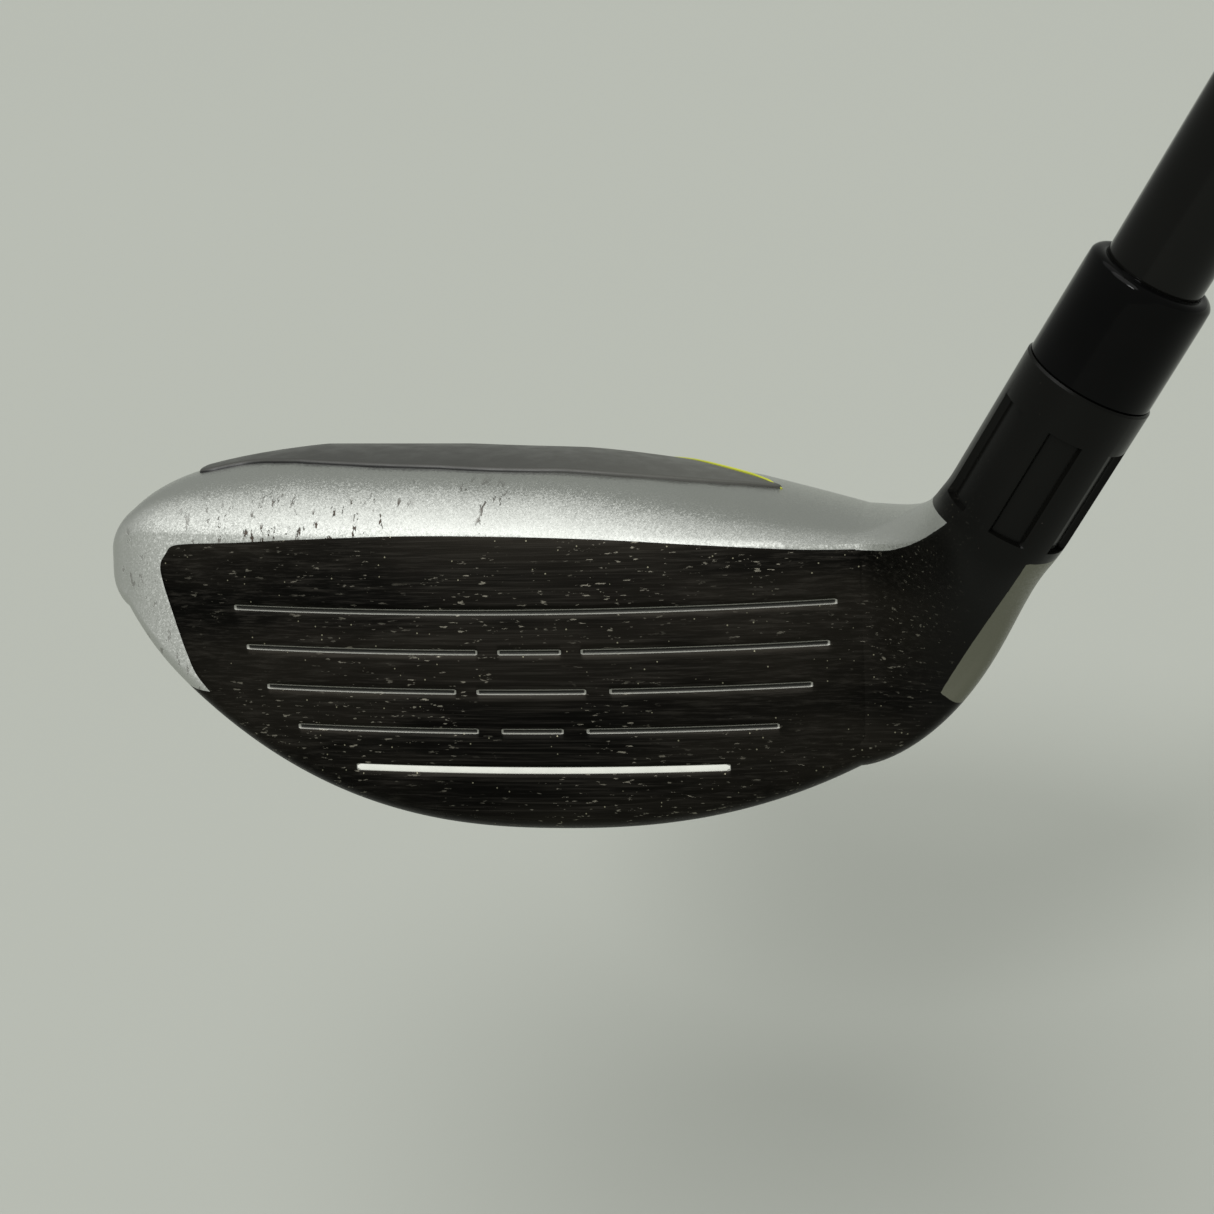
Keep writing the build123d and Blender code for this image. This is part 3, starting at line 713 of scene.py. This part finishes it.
class Nodes:
    """A material's node tree, with short calls to add and join nodes."""

    def __init__(self, name):
        self.material = bpy.data.materials.new(name)
        self.material.use_nodes = True
        self.tree = self.material.node_tree
        self.shader = self.tree.nodes["Principled BSDF"]

    def add(self, kind, inputs=None, **settings):
        node = self.tree.nodes.new(kind)
        for key, value in settings.items():
            setattr(node, key, value)
        for key, value in (inputs or {}).items():
            self.put(node, key, value)
        return node

    def put(self, node, key, value):
        socket = node.inputs[key]
        if isinstance(value, bpy.types.NodeSocket):
            self.tree.links.new(value, socket)
        else:
            socket.default_value = value

    def set(self, **values):
        for key, value in values.items():
            self.put(self.shader, key.replace("_", " "), value)

    def place(self, scale=(1, 1, 1), turn=(0, 0, 0)):
        """Object coordinates, scaled: the frame's metres times the scale."""
        coordinates = self.add("ShaderNodeTexCoord")
        mapping = self.add("ShaderNodeMapping", {"Vector": coordinates.outputs["Object"]})
        mapping.inputs["Scale"].default_value = scale
        mapping.inputs["Rotation"].default_value = turn
        return mapping.outputs["Vector"]

    def noise(self, vector, scale, detail=4.0, rough=0.55):
        return self.add("ShaderNodeTexNoise", {
            "Vector": vector, "Scale": scale, "Detail": detail, "Roughness": rough}).outputs["Fac"]

    def ramp(self, value, low, high, out_low=0.0, out_high=1.0):
        return self.add("ShaderNodeMapRange", {
            "Value": value, "From Min": low, "From Max": high, "To Min": out_low, "To Max": out_high},
            interpolation_type="SMOOTHSTEP").outputs["Result"]

    def math(self, kind, a, b=0.0):
        return self.add("ShaderNodeMath", {0: a, 1: b}, operation=kind).outputs[0]

    def mix(self, share, a, b):
        node = self.add("ShaderNodeMix", data_type="RGBA")
        self.put(node, 0, share)
        self.put(node, 6, a)
        self.put(node, 7, b)
        return node.outputs[2]

    def field(self, name):
        return self.add("ShaderNodeAttribute", attribute_name=name).outputs["Fac"]

    def bump(self, height, distance, strength=1.0, normal=None):
        node = self.add("ShaderNodeBump", {"Height": height, "Distance": distance, "Strength": strength})
        if normal is not None:
            self.put(node, "Normal", normal)
        return node.outputs["Normal"]


def brushed_colour(m):
    """Dark plated steel, brushed from heel to toe, with small bright knocks: colour, lines, knocks."""
    place = m.place()
    lines = m.noise(m.place((60, 2600, 3400)), 1.0, 5, 0.7)
    broad = m.noise(m.place((25, 60, 110)), 1.0, 3)
    dabs = m.noise(m.place((760, 3000, 3200)), 1.0, 3, 0.6)
    zones = m.noise(place, 85, 3)
    knocks = m.math("MULTIPLY", m.ramp(dabs, 0.63, 0.68), m.ramp(zones, 0.40, 0.60))
    dots = m.add("ShaderNodeTexVoronoi", {"Vector": place, "Scale": 1500.0}, feature="F1")
    rare = m.add("ShaderNodeSeparateColor", {0: dots.outputs["Color"]}).outputs[0]
    dot = m.math("MULTIPLY", m.ramp(dots.outputs["Distance"], 0.15, 0.08), m.ramp(rare, 0.84, 0.88))
    base = m.mix(m.ramp(broad, 0.35, 0.65), (0.003, 0.0028, 0.0023, 1), (0.013, 0.0115, 0.009, 1))
    base = m.mix(m.ramp(lines, 0.45, 0.75, 0.0, 0.6), base, (0.034, 0.031, 0.026, 1))
    base = m.mix(knocks, base, (0.17, 0.16, 0.13, 1))
    base = m.mix(dot, base, (0.22, 0.21, 0.15, 1))
    return base, lines, knocks


def head_paint():
    """Satin metallic grey in front, satin black behind, at the hosel and below; at the heel the grey is
    darkened to olive as painted shade.
    """
    m = Nodes("head_paint")
    place = m.place()
    fine = m.place((2600, 2600, 2600))
    flakes = m.add("ShaderNodeTexVoronoi", {"Vector": fine, "Scale": 2.9}, feature="F1")
    middle = (0.5, 0.5, 0.5)
    tilt = m.add("ShaderNodeVectorMath", {0: flakes.outputs["Color"], 1: middle}, operation="SUBTRACT")
    tilt = m.add("ShaderNodeVectorMath", {0: tilt.outputs[0], "Scale": 0.20}, operation="SCALE")
    normal = m.add("ShaderNodeNewGeometry").outputs["Normal"]
    sparkle = m.add("ShaderNodeVectorMath", {0: normal, 1: tilt.outputs[0]}, operation="ADD")
    sparkle = m.add("ShaderNodeVectorMath", {0: sparkle.outputs[0]}, operation="NORMALIZE").outputs[0]
    edge = m.math("ADD", m.field("silver"), m.ramp(m.noise(place, 1400, 2), 0, 1, -0.03, 0.03))
    grey = m.ramp(edge, -0.03, 0.03)
    cloud = m.noise(place, 45, 3)
    # Knocks and scratches along the top line show the dark casting.
    worn_at = m.noise(m.place((1250, 380, 520), (0, 0.35, 0)), 1.0, 6, 0.65)
    worn_zone = m.ramp(m.noise(place, 150, 2), 0.46, 0.54)
    separate = m.add("ShaderNodeSeparateXYZ", {0: place})
    toe_side = m.math("MULTIPLY", m.ramp(separate.outputs["X"], 0.004, -0.006),
                      m.ramp(separate.outputs["X"], -0.040, -0.030, 0.4, 1.0))
    low_side = m.ramp(separate.outputs["Y"], 0.0115, 0.0045)
    worn = m.math("MULTIPLY", m.math("MULTIPLY", m.ramp(worn_at, 0.59, 0.615), worn_zone),
                  m.math("MULTIPLY", toe_side, low_side))
    silver = m.mix(cloud, (0.42, 0.43, 0.405, 1), (0.50, 0.51, 0.485, 1))
    # Painted shade: the grey darkens to olive on the heel below the hosel.
    silver = m.mix(m.field("heel_shade"), silver, (0.165, 0.165, 0.130, 1))
    silver = m.mix(worn, silver, (0.07, 0.055, 0.045, 1))
    black = m.mix(cloud, (0.002, 0.002, 0.0017, 1), (0.005, 0.005, 0.0042, 1))
    specks = m.ramp(m.noise(place, 3800, 1), 0.80, 0.84)
    black = m.mix(specks, black, (0.07, 0.06, 0.05, 1))
    steel, lines, _ = brushed_colour(m)
    bare = m.field("steel")
    black = m.mix(m.math("MULTIPLY", bare, bare), black, steel)
    m.set(Base_Color=m.mix(grey, black, silver))
    metal = m.math("MAXIMUM", m.math("MULTIPLY", grey, 0.88), m.math("MULTIPLY", bare, 0.85))
    m.put(m.shader, "Metallic", metal)
    m.shader.inputs["Specular IOR Level"].default_value = 0.12
    dark_rough = m.ramp(bare, 0, 1, 0.26, 0.46)
    m.put(m.shader, "Roughness", m.math("ADD", dark_rough, m.math("MULTIPLY", grey, 0.05)))
    away = m.add("ShaderNodeMix", data_type="VECTOR")
    m.put(away, 0, grey)
    m.put(away, 4, normal)
    m.put(away, 5, sparkle)
    height = m.math("MULTIPLY", m.math("MULTIPLY", lines, bare), m.math("SUBTRACT", 1.0, grey))
    brushed = m.bump(height, 0.00002, 0.7, away.outputs[1])
    m.put(m.shader, "Normal", m.bump(m.math("SUBTRACT", 1.0, worn), 0.00006, 0.8, brushed))
    return m.material


def brushed_face():
    """The plated face, with worn pale paint at the grooves' edges."""
    m = Nodes("brushed_face")
    base, lines, knocks = brushed_colour(m)
    groove = m.field("groove")
    lip = m.math("MULTIPLY", m.ramp(groove, 0.02, 0.05), m.ramp(groove, 0.19, 0.14))
    base = m.mix(m.math("MULTIPLY", lip, 0.75), base, (0.46, 0.46, 0.42, 1))
    base = m.mix(m.ramp(groove, 0.16, 0.19), base, (0.02, 0.02, 0.018, 1))
    m.set(Base_Color=base, Roughness=m.ramp(lines, 0.3, 0.75, 0.38, 0.54))
    m.shader.inputs["Metallic"].default_value = 0.85
    m.shader.inputs["Specular IOR Level"].default_value = 0.12
    height = m.math("ADD", lines, m.math("MULTIPLY", knocks, -0.8))
    m.put(m.shader, "Normal", m.bump(height, 0.00002, 0.7))
    return m.material


def rear_paint():
    """Satin dark grey over the raised crown, with painted light that makes it lighter towards the heel, and
    black as painted shade in the step at its edge.
    """
    m = Nodes("rear_paint")
    place = m.place()
    cloud = m.noise(place, 60, 3)
    top = m.mix(cloud, (0.050, 0.050, 0.046, 1), (0.066, 0.065, 0.059, 1))
    along = m.add("ShaderNodeSeparateXYZ", {0: place}).outputs["X"]
    # Painted light: the panel's grey grows lighter towards the heel.
    top = m.mix(m.ramp(along, -0.012, 0.022), top, (0.105, 0.104, 0.093, 1))
    # Painted shade: black in the step at the panel's edge, fading out towards the heel.
    step = m.math("MAXIMUM", m.ramp(m.field("edge"), 0.02, 0.14), m.ramp(along, -0.01, 0.012, 0.0, 0.75))
    m.set(Base_Color=m.mix(step, (0.006, 0.006, 0.006, 1), top))
    m.set(Roughness=m.ramp(m.noise(place, 400, 3), 0.3, 0.7, 0.38, 0.50))
    m.put(m.shader, "Normal", m.bump(m.noise(place, 2200, 3), 0.000015, 0.7))
    m.shader.inputs["Metallic"].default_value = 0.2
    return m.material


def painted(name, dark, light, rough, scale=900, bump=0.00001, metallic=0.0, coat=0.0, shine=0.5):
    """Paint, plastic or rubber with fine mottling and a fine texture."""
    m = Nodes(name)
    place = m.place()
    m.set(Base_Color=m.mix(m.noise(place, scale / 8, 4), dark, light))
    m.set(Roughness=m.ramp(m.noise(place, scale / 3, 4), 0.3, 0.7, rough * 0.85, rough * 1.15))
    m.put(m.shader, "Normal", m.bump(m.noise(place, scale, 3), bump, 0.6))
    m.shader.inputs["Metallic"].default_value = metallic
    m.shader.inputs["Specular IOR Level"].default_value = shine
    m.shader.inputs["Coat Weight"].default_value = coat
    m.shader.inputs["Coat Roughness"].default_value = 0.08
    return m.material


# ---- Pieces on the club ----

def dress(piece, material, slot, *nodes):
    """Gives a piece its material and its body, and hides the CAD nodes that it replaces. The slot is not
    used.
    """
    piece.data.materials.clear()
    piece.data.materials.append(material)
    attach(piece, "root")
    if nodes:
        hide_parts(*nodes)


gloss_black = painted(
    "gloss_black", (0.002, 0.002, 0.002, 1), (0.005, 0.005, 0.004, 1), 0.13, 500, 0.000004, shine=0.16)
ferrule_black = painted(
    "ferrule_black", (0.001, 0.001, 0.001, 1), (0.003, 0.003, 0.003, 1), 0.10, 900, 0.000005, shine=0.08)
rubber = painted("grip_rubber", (0.012, 0.012, 0.012, 1), (0.024, 0.024, 0.023, 1), 0.75, 2200, 0.00006)
polymer = painted("slot_polymer", (0.016, 0.016, 0.016, 1), (0.03, 0.03, 0.03, 1), 0.55, 2600, 0.00002)
lime = painted("accent_lime", (0.42, 0.46, 0.03, 1), (0.60, 0.62, 0.06, 1), 0.35, 1200, 0.000008)
white_fill = painted("score_white", (0.62, 0.63, 0.58, 1), (0.86, 0.86, 0.80, 1), 0.5, 3000, 0.00002)
badge_grey = painted("badge_grey", (0.16, 0.17, 0.17, 1), (0.24, 0.25, 0.24, 1), 0.4, 1800, 0.00001, 0.9)
steel = painted("screw_steel", (0.22, 0.22, 0.21, 1), (0.36, 0.36, 0.34, 1), 0.35, 2600, 0.00001, 1.0)
band_grey = painted(
    "band_grey", (0.10, 0.11, 0.11, 1), (0.15, 0.16, 0.16, 1), 0.25, 900, 0.000004, coat=0.4)
hidden = painted("hidden_grey", (0.12, 0.12, 0.12, 1), (0.2, 0.2, 0.19, 1), 0.6)

dress(head_shell(), head_paint(), "head_paint", "head_body")
dress(face_plate(), brushed_face(), "face_steel", "face_insert")
dress(score_paint(), white_fill, "score_paint", "scoreline_fill")
dress(crown_panel(), rear_paint(), "crown_paint", "crown_panel")
dress(accent_strip(), lime, "accent_paint", "crown_accent")
dress(ferrule(), ferrule_black, "ferrule_black", "ferrule")
dress(shaft(), gloss_black, "shaft_paint", "shaft")
dress(shaft_band(), band_grey, "decal_film", "shaft_decal")
dress(grip(), rubber, "grip_rubber", "grip")
dress(grip_cap(), rubber, "grip_rubber", "grip_cap")

# The CAD nodes that show, or lie hidden, as they are.
CARRIED = {
    "slot_insert": polymer, "sole_badge": badge_grey, "port_screw": steel, "port_seal": rubber,
    "toe_weight": hidden, "heel_weight": hidden, "hot_melt": hidden, "hosel_plug": hidden,
    "tip_weight": hidden, "epoxy_sleeve": hidden, "grip_tape": hidden,
}
for node, material in CARRIED.items():
    for mesh_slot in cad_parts[node].material_slots:
        mesh_slot.material = material

# ---- Floor, light and camera ----
FLOOR_DROP = 0.075


def pale(name, colour):
    m = Nodes(name)
    shade = tuple(c * 0.97 for c in colour[:3]) + (1,)
    m.set(Base_Color=m.mix(m.noise(m.place(), 1.5, 3), shade, colour))
    m.shader.inputs["Roughness"].default_value = 0.9
    m.shader.inputs["Specular IOR Level"].default_value = 0.1
    return m.material


bpy.ops.mesh.primitive_plane_add(size=40, location=(0, 6, -FLOOR_DROP))
floor = bpy.context.object
floor.name = "studio_floor"
floor.data.materials.append(pale("floor_pale", (0.475, 0.49, 0.449, 1)))

world = bpy.data.worlds.new("studio")
bpy.context.scene.world = world
world.use_nodes = True
world.node_tree.nodes["Background"].inputs["Color"].default_value = (0.96, 1.0, 0.93, 1)
world.node_tree.nodes["Background"].inputs["Strength"].default_value = 0.36


def sun(name, towards, strength, spread):
    """A broad soft light from this direction."""
    light = bpy.data.lights.new(name, "SUN")
    light.energy = strength
    light.angle = radians(spread)
    lamp = bpy.data.objects.new(name, light)
    lamp.rotation_euler = Vector(towards).to_track_quat("Z", "Y").to_euler()
    bpy.context.scene.collection.objects.link(lamp)


sun("key", (-0.22, -0.75, 0.62), 1.1, 13)
sun("high", (-0.20, -0.42, 0.88), 1.35, 48)
sun("top", (-0.20, 0.16, 0.95), 0.3, 38)
bpy.context.scene.view_settings.view_transform = "Standard"

# The camera stands in front of the face, above it and a little to the heel side.
CAMERA_PLACE = (0.05661, -0.21197, 0.12574)
CAMERA_RIGHT = Vector((0.97946, 0.17713, -0.09640))
CAMERA_UP = Vector((0.01040, 0.43300, 0.90134))
CAMERA_BACK = Vector((0.20139, -0.88383, 0.42225))
camera_data = bpy.data.cameras.new("camera")
camera_data.sensor_width = 36.0
camera_data.lens = 69.39
camera_data.clip_start = 0.01
camera = bpy.data.objects.new("camera", camera_data)
turn = Matrix((CAMERA_RIGHT, CAMERA_UP, CAMERA_BACK)).transposed().to_4x4()
camera.matrix_world = Matrix.Translation(CAMERA_PLACE) @ turn
bpy.context.scene.collection.objects.link(camera)
bpy.context.scene.camera = camera
